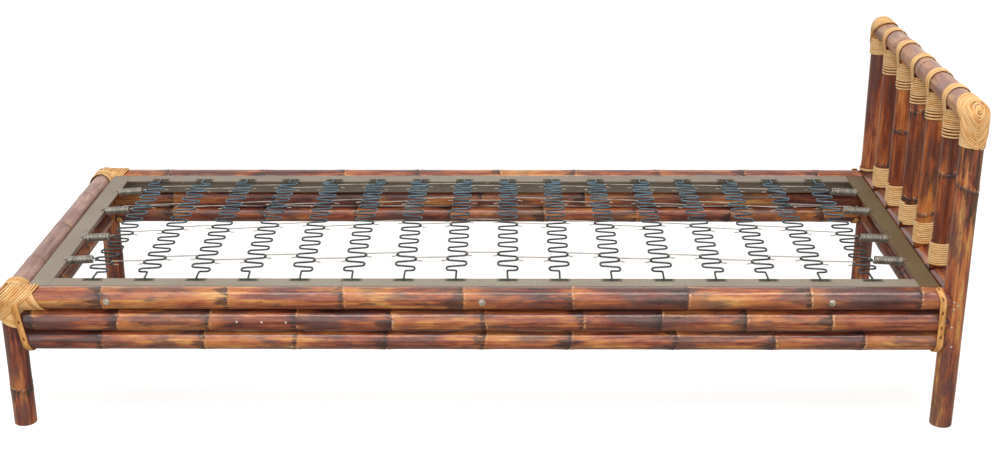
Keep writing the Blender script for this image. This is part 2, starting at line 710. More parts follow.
# %% Headboard rail and spindles
RAIL_OVERHANG = 12.0
SPINDLE_JOINTS = [[88.0], [215.0], [92.0, 300.0], [104.0], [239.0]]
SPINDLE_LEANS = {104.0: (7.0, 0.0), 215.0: (3.0, math.pi), 239.0: (2.5, 0.0)}
SPINDLE_KNOTS = {3: [(182.0, math.radians(-100), 8.0, 4.5)]}


def over_top_pole(offset):
    return round_cut(RAIL_RADII["top"] + GAP, offset[0])


rail_length = 2 * (HALF_WIDTH + RAIL_OVERHANG)
rail = culm(np.array([HALF_LENGTH, -rail_length / 2, HEAD_RAIL_HEIGHT]), Y_AXIS,
            HEAD_RAIL_RADIUS, rail_length, spaced(150, 215, rail_length), seed=121)
add_piece("headboard_rail", [rail], faded_bamboo, ["headboard_top_rail"], sharp=50)

spindle_length = HEAD_RAIL_HEIGHT - RAIL_HEIGHTS["top"]
for number, y in enumerate(SPINDLE_PLACES):
    part = culm(np.array([HALF_LENGTH, y, RAIL_HEIGHTS["top"]]), Z_AXIS, SPINDLE_RADIUS,
                spindle_length, SPINDLE_JOINTS[number], seed=131 + number, low_cut=over_top_pole,
                high_cut=under_head_rail, tone_range=(0.1, 0.8), leans=SPINDLE_LEANS,
                knots=SPINDLE_KNOTS.get(number, []))
    add_piece(f"headboard_spindle_{number + 1}", [part], amber_bamboo,
              [f"spindle_{number + 1}"])
print("spindles", spindle_length, "mm between axes")

# %% [markdown]
# ## Rattan
#
# Rattan peel is the shiny skin of a climbing palm, split into strips about 5 mm wide and wound
# on damp, so that it tightens as it dries. Each strip is rounded outside and flat inside, and
# fine fibres run along it. New strips are straw-coloured and go honey-yellow with age, darker
# in the gaps where dust and lacquer settle.
#
# A bump map could suggest the windings, but their edges show against the light, so every
# strip is real geometry.

# %% Rattan material
rattan_peel, add = new_material("rattan_peel_split_and_wound")
grain, tone, mark = [add("Attribute", attribute_name=key) for key in ("grain", "tone", "mark")]
fibres = grain_noise(add, grain, 22.0, 1500.0, Detail=3.0, Roughness=0.6)
patches = grain_noise(add, grain, 30.0, 160.0, Detail=3.0)
mixed = add("Math", (fibres, 0.5, patches), operation="MULTIPLY_ADD")
toned = add("Math", (tone["Fac"], 0.3, mixed[0]), operation="MULTIPLY_ADD")
honey = add("ValToRGB", (toned[0],),
            colour_ramp((0.58, 0.75, 0.9, 1.0), "#bd803f #dca05a #edb872 #f7d096"))
grimed = add("Mix", {0: mark["Fac"], 6: honey["Color"], 7: linear("#7d4c26")}, data_type="RGBA")
rough = add("MapRange", span(fibres, 0.3, 0.7, 0.38, 0.6))
bump = add("Bump", {"Strength": 0.4, "Distance": 0.0003, "Height": fibres})
finish_material(add, {"Base Color": grimed[2], "Roughness": rough[0], "Normal": bump[0],
                      "IOR": 1.5, "Coat Weight": 0.12, "Coat Roughness": 0.3})
print("material", rattan_peel.name)

# %% A strip of peel along a path
# Place across the strip, height over its flat side, and how much grime lies there
STRIP_SECTION = np.array([(-0.5, 0.0, 1.0), (-0.47, 0.4, 0.36), (-0.33, 0.8, 0.04), (0.0, 1.0, 0.0),
                          (0.33, 0.8, 0.04), (0.47, 0.4, 0.36), (0.5, 0.0, 1.0)])


def laid_out(path, across, out, places, rises):
    """At each point of path, points that far across it and that far off it."""
    return path[:, None] + across[:, None] * places[..., None] + out[:, None] * rises[..., None]


def grain_along(along, places, depth):
    return np.stack(np.broadcast_arrays(along[:, None], places, depth), -1)


def strip(path, outward, width, thickness, seed, closed=False, tone=None):
    """A strip along path, in metres, that lies on a surface whose normals are outward."""
    run = np.roll(path, -1, 0) - np.roll(path, 1, 0) if closed else np.gradient(path, axis=0)
    across = unit(np.cross(run, outward))
    out = np.cross(across, unit(run))
    place, rise, grime = STRIP_SECTION.T
    places = np.broadcast_to(width, (len(path),))[:, None] * place
    points = laid_out(path, across, out, places, rise * thickness)
    grain = grain_along(travelled(path) + seed * 0.37, places, seed * 0.11)
    own = random.Random(seed).random() if tone is None else tone
    return make_part(points, tube_faces(len(path), len(place), closed), grain, tone=own,
                     mark=np.tile(grime, len(path)))


# %% [markdown]
# ### Windings round the spindles
#
# Ten turns of peel bind each spindle at its foot and twelve at its top. Each winding is one
# helix, with a little wander in the spacing, and its two ends tuck under the last turn. Below
# the headboard rail the lowest turns have slipped apart. At the top of each spindle five strips
# side by side go over the rail like a strap. They draw together below the rail, and their tails
# are held under the first turns of the winding.

# %% A helical winding round an upright pole
WINDING_TURNS, WINDING_STEPS = 10, 30
STRIP_THICKNESS = 2.6
# How far a strip's ends tuck in, over how many steps, and how far its turns wander and sway
TUCK, TUCK_STEPS, WANDER, SWAY = 1.1, 7, 0.22, 0.7


def winding(x, y, bottom, top, radius, turns, seed, thickness=STRIP_THICKNESS, loose=0):
    """loose is the number of turns at the bottom that have slipped apart."""
    pitch = (top - bottom) / turns
    rng = random.Random(seed)
    drift = [rng.uniform(-WANDER, WANDER) for _ in range(turns + 2)]
    spread = np.where(np.arange(turns) < loose, 1.5, 1.0)
    places = np.concatenate([[0.0], np.cumsum(spread)]) / spread.sum()
    step = np.arange(turns * WINDING_STEPS + 1)
    turn = step / WINDING_STEPS
    angle = rng.uniform(0, 2 * math.pi) + turn * 2 * math.pi
    tuck = TUCK * np.maximum(0.0, 1 - np.minimum(step, step[::-1]) / TUCK_STEPS)
    outward = ring_ways(angle, X_AXIS, Y_AXIS)
    path = np.array([x, y, 0.0]) + (radius - tuck)[:, None] * outward
    path[:, 2] = (bottom + pitch / 2 + np.interp(turn, range(turns + 2), drift)
                  + (top - bottom - pitch) * np.interp(turn, range(turns + 1), places)
                  + SWAY * np.sin(angle + seed))
    width = 0.9 * pitch * (turns - 1) / spread.sum() * (1.0 if loose else 1.1)
    return strip(path * MM, outward, width * MM, thickness * MM, seed, tone=rng.uniform(0.6, 1.0))


# %% A strap of five strips over the headboard rail
STRAP_STRIPS, STRAP_WIDTH, TAIL_WIDTH = 5, 29.0, 17.0
STRAP_STRIP_WIDTH, STRAP_THICKNESS = 6.1, 1.7
RAIL_UNDERSIDE = -26.0


def strap_path(offset):
    """In the plane across the rail: up one side of the spindle, round the rail, down the other.
    offset is the strip's height over the rail and the spindle. The tails end under the winding."""
    ring = HEAD_RAIL_RADIUS + offset
    tail = [np.array([SPINDLE_RADIUS + GAP + rise + offset, drop])
            for rise, drop in ((0.0, -32.0), (0.1, -28.0), (0.5, -23.0), (2.0, -18.0))]
    reach = np.linalg.norm(tail[-1])
    touch = math.atan2(tail[-1][1], tail[-1][0]) + math.acos(min(1.0, ring / reach))
    arc = ring * ring_ways(np.linspace(touch, math.pi - touch, 40), [1.0, 0.0], [0.0, 1.0])
    half = np.concatenate([tail, np.linspace(tail[-1], arc[0], 5)[1:-1]])
    return np.concatenate([half, arc, half[::-1] * [-1.0, 1.0]])


def strap(y, seed):
    parts = []
    for k in range(STRAP_STRIPS):
        aside, rise = strap_path(0.3 + 0.2 * (k % 2)).T
        spread = np.interp(rise, [RAIL_UNDERSIDE, 0.0], [TAIL_WIDTH, STRAP_WIDTH]) / STRAP_STRIPS
        shift = (k - (STRAP_STRIPS - 1) / 2) * spread
        path = np.stack([HALF_LENGTH + aside, y + shift, HEAD_RAIL_HEIGHT + rise], 1)
        outward = np.stack([aside, 0 * rise, np.where(rise < RAIL_UNDERSIDE, 0.0, rise)], 1)
        parts.append(strip(path * MM, unit(outward), STRAP_STRIP_WIDTH * MM, STRAP_THICKNESS * MM,
                           seed + k, tone=0.6))
    return parts


# %% Bind the spindles
# Bottom and top of the windings, in mm
LOW_WINDING, HIGH_WINDING = (321.6, 377.6), (611.0, 679.0)

for number, y in enumerate(SPINDLE_PLACES):
    low = winding(HALF_LENGTH, y, *LOW_WINDING, SPINDLE_RADIUS + GAP, WINDING_TURNS, 200 + number)
    add_piece(f"spindle_winding_{number + 1}", [low], rattan_peel,
              [f"spindle_binding_{number + 1}"])
    high = winding(HALF_LENGTH, y, *HIGH_WINDING, SPINDLE_RADIUS + GAP, WINDING_TURNS + 2,
                   220 + number, loose=3)
    add_piece(f"rail_lashing_{number + 1}", [high, *strap(y, 240 + 7 * number)], rattan_peel,
              [f"headboard_lashing_{number + 1}"])
print("windings of", WINDING_TURNS, "and", WINDING_TURNS + 2, "turns")

# %% [markdown]
# ### Corner wraps
#
# At each corner the strips cross diagonally over the poles in a herringbone. Placing every
# strip by hand would be slow. Instead a smooth body is made over the corner: rods and a ball
# joined, remeshed and relaxed, as a worker's padding would be. Each strip is then the outline
# of a slanted slice through that body, found by casting rays at it, with a dip where the
# strips meet in a V.

# %% A smooth body over a corner
VOXEL, RELAX_ROUNDS = 2.2, 10


def padding(rods, ball):
    """rods are (from, to, radius) and ball is (centre, radius), in mm."""
    shape = bmesh.new()
    for start, end, radius in rods:
        start, end = Vector(start) * MM, Vector(end) * MM
        turn = (end - start).to_track_quat("Z", "Y").to_matrix().to_4x4()
        bmesh.ops.create_cone(shape, cap_ends=True, segments=40, radius1=radius * MM,
                              radius2=radius * MM, depth=(end - start).length,
                              matrix=Matrix.Translation((start + end) / 2) @ turn)
    centre, radius = ball
    bmesh.ops.create_uvsphere(shape, u_segments=32, v_segments=20, radius=radius * MM,
                              matrix=Matrix.Translation(Vector(centre) * MM))
    mesh = bpy.data.meshes.new("padding")
    shape.to_mesh(mesh)
    shape.free()
    body = new_object("padding", mesh)
    remesh = body.modifiers.new("remesh", "REMESH")
    remesh.mode = "VOXEL"
    remesh.voxel_size = VOXEL * MM
    relax = body.modifiers.new("relax", "SMOOTH")
    relax.iterations = RELAX_ROUNDS
    relax.factor = 0.5
    graph = bpy.context.evaluated_depsgraph_get()
    ready = bpy.data.meshes.new_from_object(body.evaluated_get(graph))
    points = [tuple(vertex.co) for vertex in ready.vertices]
    faces = [tuple(face.vertices) for face in ready.polygons]
    bpy.data.objects.remove(body)
    bpy.data.meshes.remove(mesh)
    bpy.data.meshes.remove(ready)
    return points, faces


def body_part(rods, ball):
    points, faces = padding(rods, ball)
    return make_part(points, faces, points, tone=0.3, mark=0.45)


# %% Strips laid on it
# Where a ray starts and how far it looks, in mm, and the angle over which a dip fades
RAY_START, RAY_LENGTH, DIP_REACH = 110.0, 140.0, 52.0
FEWEST_HITS = 8


def slice_strip(form, centre, toward, beside, seed, widths, thickness, lift=0.0, dip=0.0,
                samples=96):
    """One strip round the form. toward and beside span the slice; at angle 0 the ray comes in
    along toward. Near there the strip dips by up to dip mm. widths are its width there and on
    the other side."""
    toward = unit(toward)
    beside = unit(beside - toward * (beside @ toward))
    path, outward, width = [], [], []
    for degrees in np.linspace(0, 360, samples, endpoint=False):
        angle = math.radians(degrees)
        way = toward * math.cos(angle) + beside * math.sin(angle)
        turned_by = min(degrees, 360 - degrees)
        start = centre + RAY_START * way - Z_AXIS * dip * max(0.0, 1 - turned_by / DIP_REACH)
        hit, normal, _, _ = form.ray_cast(Vector(start * MM), Vector(-way), RAY_LENGTH * MM)
        if hit is not None:
            path.append(hit)
            outward.append(normal)
            width.append(np.interp(turned_by, [0, 180], widths) * MM)
    if len(path) < FEWEST_HITS:
        return []
    path, outward = np.array(path), np.array(outward)
    for _ in range(2):
        path, outward = smoothed(path, closed=True), smoothed(outward, closed=True)
    outward = unit(outward)
    return [strip(path + outward * lift * MM, outward, width, thickness * MM, seed, closed=True)]


# %% Headboard corners
WRAP_RADIUS, WRAP_BALL = 27.6, 26.4
APEX_RISE = math.radians(45)
WRAP_LOOPS, DEEPEST_DIP = 17, 22.0
WRAP_STRIP_WIDTHS, WRAP_STRIP_THICKNESS = (3.1, 5.3), 2.3
# First place and step from strip to strip, over the top of the rail and down the outer side
TOP_START, TOP_STEP, LOW_START, LOW_STEP = 3, 5.3, 9, 4.9
WRAP_TIP = [(-3.0, 6.0), (0.6, 5.6), (1.5, 4.0), (1.9, 1.8), (2.0, 0.0)]
# How far the rods run along the rail and the post, and how much thicker they are
FORM_RODS, BODY_RODS = (120, 0.8, 138, 1.9), (30, 0.5, 36, 1.5)
POST_WINDING, POST_WINDING_TURNS = (630.0, 676.0), 9


def round_the_end(travel):
    """The place of a point that far from the apex: up over the rail's top for positive travel,
    down the post's outer side for negative."""
    angle = APEX_RISE + travel / WRAP_RADIUS
    if angle > math.pi / 2:
        return np.array([0.0, -WRAP_RADIUS * (angle - math.pi / 2), WRAP_RADIUS])
    if angle < 0:
        return np.array([0.0, WRAP_RADIUS, WRAP_RADIUS * angle])
    return np.array([0.0, WRAP_RADIUS * math.cos(angle), WRAP_RADIUS * math.sin(angle)])


for side_name, side in SIDES:
    outer = Y_AXIS * side
    mirror = np.array([1.0, side, 1.0])
    corner = np.array([HALF_LENGTH, side * HALF_WIDTH, HEAD_RAIL_HEIGHT])
    ball = (corner + outer * 0.8 - Z_AXIS, WRAP_BALL)
    form_rods, body_rods = [
        [(corner - outer * rail_run, corner + outer * 4, HEAD_RAIL_RADIUS + rail_more),
         (corner - Z_AXIS * post_run, corner, LEG_RADIUS + post_more)]
        for rail_run, rail_more, post_run, post_more in (FORM_RODS, BODY_RODS)]
    form = BVHTree.FromPolygons(*padding(form_rods, ball))
    parts = [body_part(body_rods, ball)]
    for k in range(WRAP_LOOPS):
        # On the rounded end a small shift of the slice already moves the strip far down
        dip = min(DEEPEST_DIP, 3.5 + 3.0 * k)
        shift = dip * min(1.0, 0.3 + 0.27 * k)
        top = corner + mirror * round_the_end(TOP_START + TOP_STEP * k)
        low = corner + mirror * round_the_end(dip - LOW_START - LOW_STEP * k)
        middle = (top + low) / 2
        parts += slice_strip(form, middle, low - middle, X_AXIS, 300 + 20 * side + k,
                             WRAP_STRIP_WIDTHS, WRAP_STRIP_THICKNESS, dip=shift, samples=128)
    tip = corner + mirror * round_the_end(0.0)
    tip_axis = mirror * [0.0, math.cos(APEX_RISE), math.sin(APEX_RISE)]
    parts.append(turned(WRAP_TIP, tip, tip_axis, 20, 1))
    parts.append(winding(HALF_LENGTH, side * HALF_WIDTH, *POST_WINDING, LEG_RADIUS + GAP,
                         POST_WINDING_TURNS, 340 + side, thickness=1.8))
    add_piece(f"headboard_corner_wrap_{side_name}", parts, rattan_peel,
              [f"corner_wrap_head_{side_name}"])
print("headboard corners wrapped")

# %% Foot corners
FOOT_PITCH, FOOT_STRIP_WIDTHS, FOOT_STRIP_THICKNESS = 4.6, (4.9, 4.9), 1.2
FOOT_BALL, FOOT_SPARE = 28.0, 0.7


def leaning(degrees, level_way):
    """A direction that falls by that angle from level_way, and the one square to it."""
    angle = math.radians(degrees)
    fall = level_way * math.cos(angle) - Z_AXIS * math.sin(angle)
    return fall, level_way * math.sin(angle) + Z_AXIS * math.cos(angle)


def foot_rods(corner, inward, rail_run, end_run, leg_run, thinner=0.0):
    return [(corner, corner + X_AXIS * rail_run, RAIL_RADII["top"] + FOOT_SPARE - thinner),
            (corner, corner + inward * end_run, RAIL_RADII["top"] + FOOT_SPARE - thinner),
            (corner, corner - Z_AXIS * leg_run, LEG_RADIUS + FOOT_SPARE - thinner)]


foot_wrap_parts = {}
for side_name, side in SIDES:
    outer, inward = Y_AXIS * side, Y_AXIS * -side
    corner = np.array([-HALF_LENGTH, side * HALF_WIDTH, RAIL_HEIGHTS["top"]])
    ball = (corner, FOOT_BALL)
    along_rail, along_end = [
        BVHTree.FromPolygons(*padding(foot_rods(corner, inward, rail_run, end_run, 120.0), ball))
        for rail_run, end_run in ((120.0, 36.0), (36.0, 120.0))]
    parts = [body_part(foot_rods(corner, inward, 32.0, 32.0, 30.0, thinner=0.4), ball)]
    # Each bundle: its form, how steeply it falls, along which pole, the face it starts on, the
    # place of its first strip square to its run, the number of strips, and its lift
    bundles = [(along_rail, 60, X_AXIS, outer, 11.0, 10, 0.2),
               (along_rail, 24, X_AXIS, outer, -49.0, 9, 0.5),
               (along_rail, -41, X_AXIS, outer, -20.0, 11, 1.7),
               (along_end, 60, inward, -X_AXIS, 24.0, 7, 1.9)]
    for number, (form, degrees, way, face, first, count, lift) in enumerate(bundles):
        run, square = leaning(degrees, way)
        for k in range(count):
            parts += slice_strip(form, corner + square * (first + FOOT_PITCH * k), face, run,
                                 400 + 40 * side + 20 * number + k, FOOT_STRIP_WIDTHS,
                                 FOOT_STRIP_THICKNESS, lift=lift + 0.15 * (k % 2))
    foot_wrap_parts[side_name] = parts
print("foot corners wrapped")

# %% [markdown]
# ### Joint bands
#
# A wider strip runs down the face of each stack of poles beside the upright and curls in under
# the bottom pole. It is nailed through; the nails have rusted away to long dark holes. The
# strip is a grid of points bent over the poles, with the holes pressed into it.

# %% A nailed band
BAND_WIDTH, BAND_THICKNESS, BAND_STEP = 13.5, 2.6, 1.4
BAND_LANES = np.linspace(-0.5, 0.5, 15)
HOLE_LENGTH, HOLE_WIDTH, HOLE_DEPTH = 5.2, 2.3, 1.7


def band(path, outward, holes, seed):
    """path and outward in mm; holes are places along the band, in mm, of nail holes."""
    places = [0.0]
    for i, length in enumerate(np.linalg.norm(np.diff(path, axis=0), axis=1)):
        steps = max(1, int(length / BAND_STEP))
        places.extend(i + np.arange(1, steps + 1) / steps)
    path, outward = [np.stack([np.interp(places, range(len(rows)), column) for column in rows.T], 1)
                     for rows in (path, outward)]
    for _ in range(4):
        path, outward = smoothed(path), smoothed(outward)
    outward = unit(outward)
    across = unit(np.cross(np.gradient(path, axis=0), outward))
    travel = travelled(path)

    from_end = np.minimum(1.0, np.minimum(travel, travel[-1] - travel) / (BAND_WIDTH / 2))
    half = np.sqrt(np.maximum(0.02, 1 - (1 - from_end) ** 2))
    ovals = (((travel[:, None, None] - holes) / HOLE_LENGTH) ** 2
             + (BAND_LANES[:, None] * BAND_WIDTH / HOLE_WIDTH) ** 2)
    pressed = np.maximum(0.0, 1 - ovals.min(-1))
    rise = BAND_THICKNESS * (1 - 6 * BAND_LANES ** 4) - HOLE_DEPTH * np.minimum(1.0, 2.2 * pressed)
    lanes = np.concatenate([BAND_LANES, BAND_LANES[::-1]]) * BAND_WIDTH
    points = laid_out(path, across, outward, half[:, None] * lanes, np.hstack([rise, 0 * rise]))
    grain = grain_along(travel * MM + seed, lanes * MM, np.repeat([0.0, 0.003], len(BAND_LANES)))
    mark = np.hstack([np.minimum(1.0, 3 * pressed), 0 * rise + 0.5])
    return make_part(points * MM, tube_faces(len(path), len(lanes)), grain, tone=0.0, mark=mark)


# %% Route of a band over the stack
def around_pole(level, side, x_of, start, end, steps):
    angles = np.radians(np.linspace(start, end, steps))
    outward = ring_ways(angles, Y_AXIS * side, Z_AXIS)
    path = (RAIL_RADII[level] + GAP) * outward + [0.0, side * HALF_WIDTH, RAIL_HEIGHTS[level]]
    path[:, 0] = x_of(path[:, 2])
    return path, outward


def head_band_x(height):
    return np.interp(height, [170, 207, 252, 297, 325], [966, 975, 976, 971, 960])


def foot_band_x(height):
    return -np.interp(height, [170, 202, 230, 284], [964, 974, 981, 984])


# %% Bands at both ends
# From and to which angle a band goes round a pole, in degrees, and in how many steps
OVER_TOP, UNDER_BOTTOM = (82, 8, 12), (-6, -172, 22)
HEAD_BAND_HOLES, FOOT_BAND_HOLES = [5, 30, 62, 96, 118], [44, 84]
FOOT_BAND_START, BACK_POST_WINDING = (292.0, 276.0), (321.6, 333.2)
for side_name, side in SIDES:
    over, over_out = around_pole("top", side, head_band_x, *OVER_TOP)
    under, under_out = around_pole("bottom", side, head_band_x, *UNDER_BOTTOM)
    parts = [band(np.concatenate([over, under]), np.concatenate([over_out, under_out]),
                  HEAD_BAND_HOLES, 500 + side)]
    if side > 0:
        parts.append(winding(HALF_LENGTH, HALF_WIDTH, *BACK_POST_WINDING, LEG_RADIUS + GAP, 2, 505))
    add_piece(f"nailed_band_head_{side_name}", parts, rattan_peel,
              [f"joint_band_head_{side_name}"])
    start = [(foot_band_x(z), side * (HALF_WIDTH + RAIL_RADII["top"] + 2.0), z)
             for z in FOOT_BAND_START]
    under, under_out = around_pole("bottom", side, foot_band_x, *UNDER_BOTTOM)
    start_out = [Y_AXIS * side] * len(start)
    part = band(np.concatenate([start, under]), np.concatenate([start_out, under_out]),
                FOOT_BAND_HOLES, 510 + side)
    add_piece(f"foot_corner_wrap_{side_name}", foot_wrap_parts[side_name] + [part], rattan_peel,
              [f"corner_wrap_foot_{side_name}"])
print("bands", BAND_WIDTH, "mm wide")

# %% [markdown]
# ## Steel angle frame
#
# The mattress frame is mild steel angle, 42 by 44 by 3 mm, punched and brush-painted. The
# paint has gone chalky, with dust in the corners, rust where the coils rub and dark grease
# round the slots where the springs hook in. The end bars keep their CAD shape. The side bars
# are made again, with the tongues pressed down from their slots, and with their bolts.

# %% Worn paint on steel
def worn_paint(name, paint, dust, rust, rust_level):
    material, add = new_material(name)
    place = add("TexCoord")
    mark = add("Attribute", attribute_name="mark")
    cloud, speck = [add("TexNoise", {"Vector": place["Object"], "Scale": scale, "Detail": 4.5,
                                     "Roughness": 0.65})["Fac"] for scale in (4.5, 240.0)]
    shaded = add("MapRange", span(cloud, 0.38, 0.62))
    worn = add("Math", (cloud, 0.45, speck), operation="MULTIPLY_ADD")
    spots = add("MapRange", span(worn[0], rust_level, rust_level + 0.05, 0.0, 0.8))
    colour = linear(paint)
    for share, over in ((shaded[0], dust), (spots[0], rust), (mark["Fac"], "#4b4638")):
        colour = add("Mix", {0: share, 6: colour, 7: linear(over)}, data_type="RGBA")[2]
    rough = add("MapRange", span(speck, 0.3, 0.7, 0.48, 0.72))
    bump = add("Bump", {"Strength": 0.25, "Distance": 0.0004, "Height": worn[0]})
    finish_material(add, {"Base Color": colour, "Roughness": rough[0], "Normal": bump[0],
                          "IOR": 1.5, "Metallic": 0.0})
    return material


grey_paint = worn_paint("mild_steel_brush_painted_warm_grey", "#93877a", "#9d978a", "#5a3f2c", 0.85)
olive_paint = worn_paint("mild_steel_brush_painted_olive", "#6b563a", "#756546", "#40301f", 0.84)
for node, material in (("frame_bar_foot", grey_paint), ("frame_bar_head", olive_paint)):
    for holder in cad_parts[node].material_slots:
        holder.material = material
print("paints", grey_paint.name, olive_paint.name)

# %% Side bars with punched slots, in mm
BAR_START, BAR_END = -926.3, 932.0
WEB_ENDS = [(-965.0, BAR_START), (BAR_END, 970.0)]
FRAME_TOP, BAR_OUTER_Y = 312.0, 369.3
FLANGE, WEB, STEEL = 42.0, 44.0, 3.0
ZIGZAGS, MIDDLE_ZIGZAG, ZIGZAG_PITCH = 16, 7.5, 112.0
ZIGZAG_PLACES = [(n - MIDDLE_ZIGZAG) * ZIGZAG_PITCH for n in range(ZIGZAGS)]
HOOK_Y = 335.8
SLOT_HALF, SLOT_HALF_WIDTH, GREASE_HALF = 18.0, 4.5, 23.0
TONGUE_SECTION = [(331.6, 309.3), (331.2, 304.5), (332.6, 300.2), (333.5, 300.9), (332.6, 304.6),
                  (332.9, 309.3)]


def block(low, high, mark):
    """A plain block between two corners with its edges rounded by a small bevel, in mm."""
    low, high = np.array(low) * MM, np.array(high) * MM
    solid = bmesh.new()
    bmesh.ops.create_cube(solid, size=1.0, matrix=Matrix.Translation((low + high) / 2)
                          @ Matrix.Diagonal((*abs(high - low), 1.0)))
    bmesh.ops.bevel(solid, geom=solid.edges[:], offset=0.3 * MM, segments=2, affect="EDGES")
    return solid_part(solid, mark)


def tongue(x, side):
    """The tongue pressed down from a slot: a bent plate under its inner lip."""
    points = np.array([(x + end * GREASE_HALF, side * y, z)
                       for end in (-1, 1) for y, z in TONGUE_SECTION]) * MM
    return make_part(points, tube_faces(2, len(TONGUE_SECTION)), points, mark=0.75)


def side_bar(side):
    """The bar is cut into cells along, across and down it, and the slots' cells are left out.
    A cell gets a wall wherever it has no neighbour."""
    marks = ([BAR_START, *(x + way * SLOT_HALF for x in ZIGZAG_PLACES for way in (-1, 1)), BAR_END],
             [side * y for y in (BAR_OUTER_Y, BAR_OUTER_Y - STEEL, HOOK_Y + SLOT_HALF_WIDTH,
                                 HOOK_Y - SLOT_HALF_WIDTH, BAR_OUTER_Y - FLANGE)],
             [FRAME_TOP, FRAME_TOP - STEEL, FRAME_TOP - WEB])
    cells = [(i, j, k) for i in range(len(marks[0]) - 1) for j, k in
             ((0, 0), (0, 1), (1, 0), (2, 0), (3, 0)) if j != 2 or i % 2 == 0]
    solid = bmesh.new()
    corners = {}
    for cell in cells:
        for axis in range(3):
            for far in (0, 1):
                beyond = tuple(c + (2 * far - 1) * (a == axis) for a, c in enumerate(cell))
                if beyond in cells:
                    continue
                wall = []
                for u, v in ((0, 0), (1, 0), (1, 1), (0, 1)):
                    step = np.roll((far, u, v), axis)
                    key = tuple(int(c + s) for c, s in zip(cell, step))
                    if key not in corners:
                        place = [line[n] * MM for line, n in zip(marks, key)]
                        corners[key] = solid.verts.new(place)
                    wall.append(corners[key])
                solid.faces.new(wall)
    bmesh.ops.recalc_face_normals(solid, faces=solid.faces)
    sharp_edges = [edge for edge in solid.edges if edge.calc_face_angle(0.0) > math.radians(50)]
    bmesh.ops.bevel(solid, geom=sharp_edges, offset=0.5 * MM, segments=2, affect="EDGES")
    return solid_part(solid)


# %% Bars with their grease
GREASE_IN, GREASE_OUT, LIP_HALF = BAR_OUTER_Y - FLANGE - 0.25, HOOK_Y + 8.5, SLOT_HALF + 0.2
GREASE_LOW, GREASE_TOP = FRAME_TOP - STEEL + 0.4, FRAME_TOP + 0.15
# Along from the hook's middle, across the bar, and how dark
GREASE = [(-GREASE_HALF, -SLOT_HALF, GREASE_IN, GREASE_OUT, 0.7),
          (SLOT_HALF, GREASE_HALF, GREASE_IN, GREASE_OUT, 0.7),
          (-LIP_HALF, LIP_HALF, GREASE_IN, HOOK_Y - 4.3, 0.85),
          (-LIP_HALF, LIP_HALF, HOOK_Y + 4.3, GREASE_OUT, 0.85)]
for side_name, side in SIDES:
    parts = [side_bar(side)] + [tongue(x, side) for x in ZIGZAG_PLACES]
    parts += [block((start, side * BAR_OUTER_Y, FRAME_TOP - WEB),
                    (end, side * (BAR_OUTER_Y - STEEL), FRAME_TOP - STEEL - GAP), 0.3)
              for start, end in WEB_ENDS]
    parts += [block((x + start, side * near, GREASE_LOW), (x + end, side * far, GREASE_TOP), mark)
              for x in ZIGZAG_PLACES for start, end, near, far, mark in GREASE]
    add_piece(f"slotted_angle_{side_name}", parts, grey_paint,
              [f"frame_bar_{side_name}"], sharp=35)
print("side bars from", BAR_START, "to", BAR_END, "mm")

# %% [markdown]
# ### Bolts
#
# Six bolts hold the side bars. Each has a domed head on a round washer outside and a hexagon
# nut behind the bar. Turned profiles are the natural way to make them, as the real ones are
# turned or pressed round.

# %% Zinc-plated steel
bare_steel, add = new_material("zinc_plated_steel_dulled")
place = add("TexCoord")
stain = add("TexNoise", {"Vector": place["Object"], "Scale": 300.0, "Detail": 4.0})["Fac"]
zinc = add("ValToRGB", (stain,), colour_ramp((0.35, 0.55, 0.7), "#8d8577 #c9c2b4 #e2dccf"))
rough = add("MapRange", span(stain, 0.3, 0.7, 0.3, 0.5))
finish_material(add, {"Base Color": zinc["Color"], "Roughness": rough[0], "Metallic": 0.6})

# %% Bolts through the side poles
BOLT_PLACES = [-790.0, 2.0, 737.0]
HEAD_PROFILE = [(0.0, 7.4), (0.9, 7.4), (1.2, 7.0), (1.2, 5.2), (1.9, 4.6), (2.3, 3.2), (2.5, 1.6),
                (2.5, 0.0)]
SHANK_PROFILE = [(-61.9, 3.0), (0.0, 3.0)]
NUT_PROFILE = [(-4.0, 4.6), (-3.6, 5.4), (-0.4, 5.5), (0.2, 5.5)]
for side_name, side in SIDES:
    for number, x in enumerate(BOLT_PLACES):
        out = Y_AXIS * side
        face = np.array([x, side * (HALF_WIDTH + RAIL_RADII["top"] - 0.5), RAIL_HEIGHTS["top"]])
        seat = np.array([x, side * (BAR_OUTER_Y - STEEL), RAIL_HEIGHTS["top"]])
        parts = [turned(HEAD_PROFILE, face, out, 28, number), turned(SHANK_PROFILE, face, out, 16, 1),
                 turned(NUT_PROFILE, seat, out, 6, 2)]
        add_piece(f"frame_bolt_{side_name}_{number + 1}", parts, bare_steel,
                  sharp=30)
print("bolts at", BOLT_PLACES)

# %% [markdown]
# ## Spring deck
#
# A zigzag spring is one tempered steel wire bent to and fro, flat as bought, that bows up when
# its ends are hooked into the slots. A curve object would do. A tube mesh is used so that the
# wire's rings can turn with it through the hooks without a twist.

# %% Round wire along a path
def rounded(points, radius, steps=5):
    """The same path with its corners rounded off, in mm. radius is one for all corners or one
    for each point."""
    points = [np.asarray(p, float) for p in points]
    path = [points[0]]
    radii = np.broadcast_to(radius, len(points))
    for before, here, after, corner in zip(points, points[1:], points[2:], radii[1:]):
        a, b = unit(before - here), unit(after - here)
        bend = math.acos(np.clip(a @ b, -1, 1))
        back = min(corner / math.tan(bend / 2), 0.49 * np.linalg.norm(before - here),
                   0.49 * np.linalg.norm(after - here))
        for s in np.linspace(0, 1, steps + 1):
            path.append((1 - s) ** 2 * (here + a * back) + 2 * s * (1 - s) * here
                        + s ** 2 * (here + b * back))
    path.append(points[-1])
    return np.array(path)


